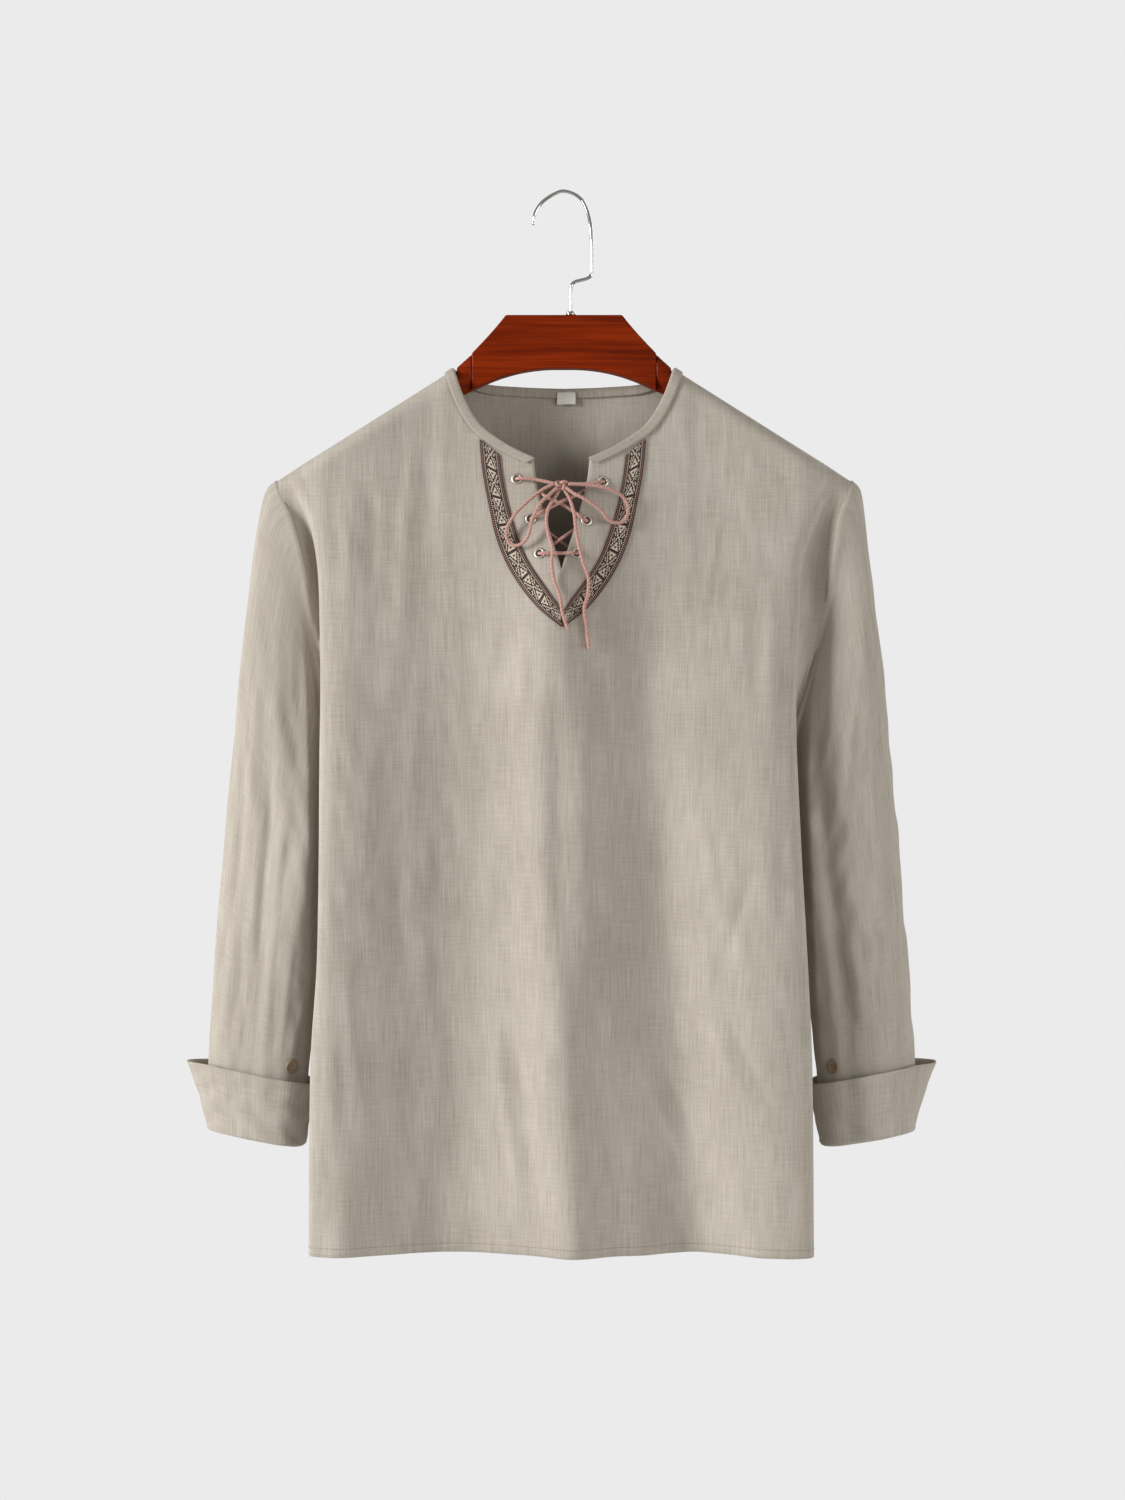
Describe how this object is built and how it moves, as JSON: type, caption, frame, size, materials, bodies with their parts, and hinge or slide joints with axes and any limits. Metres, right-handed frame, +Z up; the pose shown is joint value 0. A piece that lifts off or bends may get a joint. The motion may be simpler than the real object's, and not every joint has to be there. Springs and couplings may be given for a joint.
{
  "type": "lace-up linen shirt on a wooden clothes hanger",
  "caption": "Long-sleeved linen pullover shirt with a laced neck slit, trim tape and turned-up cuffs, hanging on a wooden hanger with a wire hook.",
  "frame": {"origin": "the inner top of the hook's bend, where a rail holds it", "axes": "+Z up, -Y out of the shirt's front, +X towards the wearer's left"},
  "size_m": [0.5983, 0.1154, 0.8428],
  "materials": {
    "linen": "slubby washed linen, warm grey-beige",
    "linen_inside": "slubby washed linen, shaded inner side",
    "binding": "folded linen binding with stitch lines",
    "tape": "woven trim tape, dark brown ground with cream pattern",
    "lace": "dusty pink round cotton lace",
    "eyelet": "pressed steel eyelet",
    "hook": "bright steel wire",
    "hanger_wood": "red-brown lacquered wood",
    "label": "plain white woven label",
    "button": "brown shirt button"
  },
  "bodies": {
    "root": {"front": "linen", "back": "linen_inside", "sleeve_right": "linen", "sleeve_left": "linen", "cuff_right": "linen", "cuff_left": "linen", "neck_binding": "binding", "trim_tape_right": "tape", "trim_tape_left": "tape", "sleeve_button_right": "button", "sleeve_button_left": "button", "eyelet_right_top": "eyelet", "eyelet_right_middle": "eyelet", "eyelet_right_bottom": "eyelet", "eyelet_left_top": "eyelet", "eyelet_left_middle": "eyelet", "eyelet_left_bottom": "eyelet", "lace_lacing": "lace", "lace_knot": "lace", "lace_loop_right": "lace", "lace_loop_left": "lace", "lace_end_right": "lace", "lace_end_left": "lace", "size_label": "label", "hanger_board": "hanger_wood", "hanger_arm_right": "hanger_wood", "hanger_arm_left": "hanger_wood", "hanger_hook": "hook", "hook_collar": "hook"}
  },
  "joints": []
}
